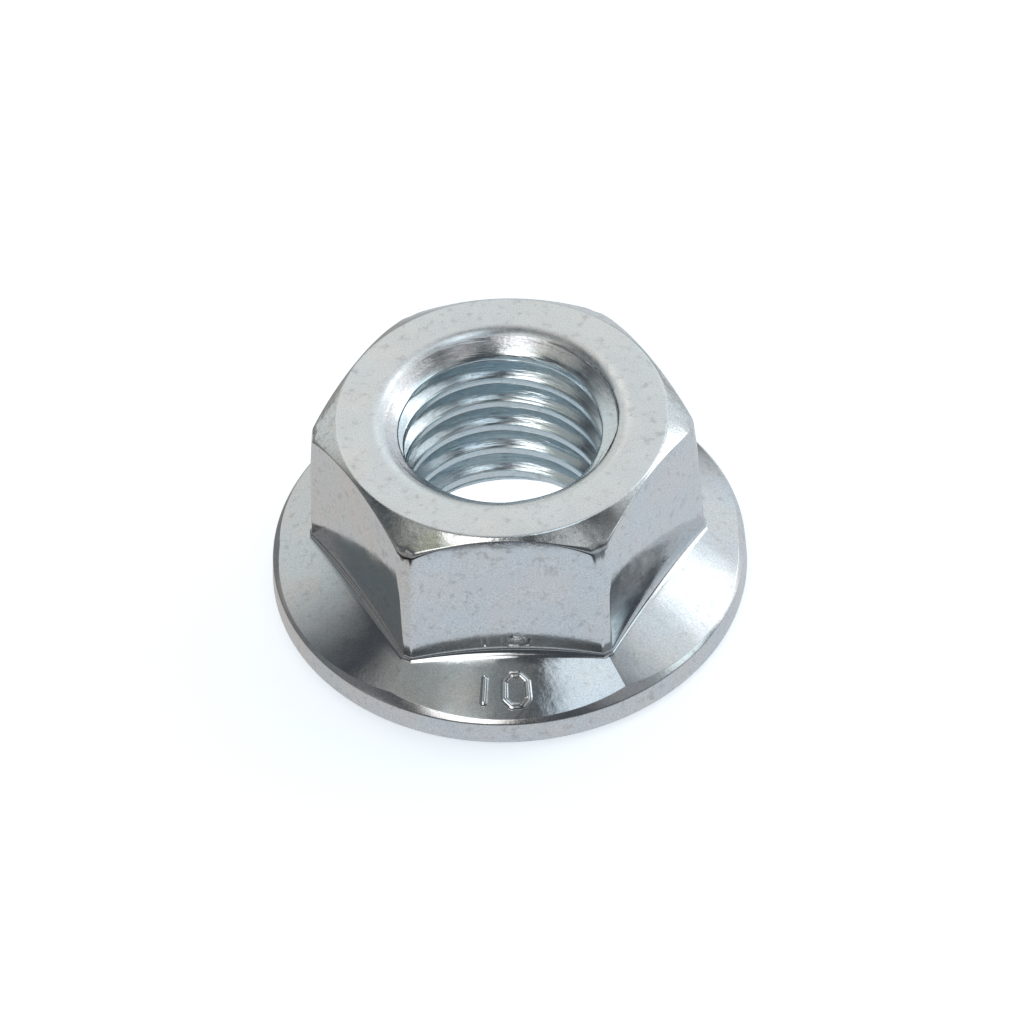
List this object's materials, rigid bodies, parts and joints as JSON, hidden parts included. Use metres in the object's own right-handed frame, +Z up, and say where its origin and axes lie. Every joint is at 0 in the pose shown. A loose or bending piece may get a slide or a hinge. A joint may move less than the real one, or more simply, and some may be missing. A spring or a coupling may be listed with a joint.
{
  "type": "serrated flange nut",
  "caption": "Hexagon nut with a threaded bore, a sloping flange as a built-in washer and ratchet serrations under it that bite into the clamped part.",
  "frame": {"origin": "centre of the bearing face, at the tips of its serrations, on the axis of the bore", "axes": "+Z up along the bore, away from the flange; the front flat of the hexagon faces -Y, and two corners lie on the X axis"},
  "size_m": [0.025, 0.025, 0.0116],
  "materials": {
    "zinc_plated_steel": "bright zinc plating with a faint blue tint, smooth on the forged faces and a little matt on the top face"
  },
  "bodies": {
    "root": {"flange_nut": "zinc_plated_steel"}
  },
  "joints": []
}
